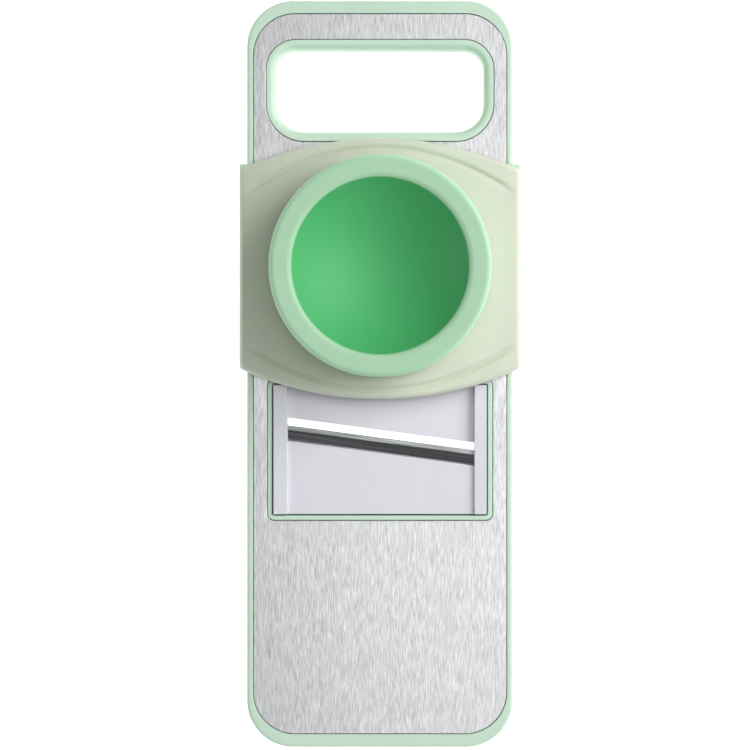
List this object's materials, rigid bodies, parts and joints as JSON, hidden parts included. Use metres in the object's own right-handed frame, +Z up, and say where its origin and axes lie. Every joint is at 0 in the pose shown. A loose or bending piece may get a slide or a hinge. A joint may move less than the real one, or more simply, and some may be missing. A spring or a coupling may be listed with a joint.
{
  "type": "mandoline slicer",
  "caption": "Flat hand slicer with a handle hole, a slanted blade in a drop-out insert, a hand guard that slides along the board and a cup-shaped food pusher.",
  "frame": {"origin": "under the middle of the board, on the surface that the feet stand on", "axes": "+Y along the board to the handle end, +X to the right seen from above with the handle at the top, +Z up out of the slicing face"},
  "size_m": [0.1238, 0.33, 0.064],
  "materials": {
    "mint_plastic": "moulded, satin",
    "green_plastic": "moulded, satin",
    "cream_plastic": "moulded, satin, slightly translucent",
    "white_plastic": "moulded, satin",
    "brushed_steel": "brushed along the board",
    "blade_steel": "mirror polished with a ground bevel",
    "clamp_steel": "rolled",
    "pin_steel": "drawn and polished",
    "screw_steel": "bright",
    "foot_rubber": "matt"
  },
  "bodies": {
    "board": {"frame": "mint_plastic", "face_panel": "brushed_steel", "back_cover": "mint_plastic", "back_screw_1": "screw_steel", "back_screw_2": "screw_steel", "back_screw_3": "screw_steel", "back_screw_4": "screw_steel", "back_screw_5": "screw_steel", "back_screw_6": "screw_steel", "foot_1": "foot_rubber", "foot_2": "foot_rubber", "foot_3": "foot_rubber", "foot_4": "foot_rubber"},
    "insert": {"insert_frame": "white_plastic", "slicing_blade": "blade_steel", "blade_clamp": "clamp_steel", "clamp_screw_1": "screw_steel", "clamp_screw_2": "screw_steel", "clamp_screw_3": "screw_steel"},
    "guard": {"guard_cover": "cream_plastic", "guard_runner_left": "mint_plastic", "guard_runner_right": "mint_plastic"},
    "pusher": {"pusher_cup": "green_plastic", "pin_plate": "green_plastic", "food_pin_1": "pin_steel", "food_pin_2": "pin_steel", "food_pin_3": "pin_steel", "food_pin_4": "pin_steel", "food_pin_5": "pin_steel", "food_pin_6": "pin_steel", "food_pin_7": "pin_steel"}
  },
  "joints": [
    {"name": "guard_slide", "type": "slide", "parent": "board", "child": "guard", "axis": [0, 1, 0], "range_m": [-0.14, 0]},
    {"name": "pusher_lift", "type": "slide", "parent": "guard", "child": "pusher", "axis": [0, 0, 1], "range_m": [0, 0.034]},
    {"name": "insert_drop", "type": "slide", "parent": "board", "child": "insert", "axis": [0, 0, -1], "range_m": [0, 0.02]}
  ]
}
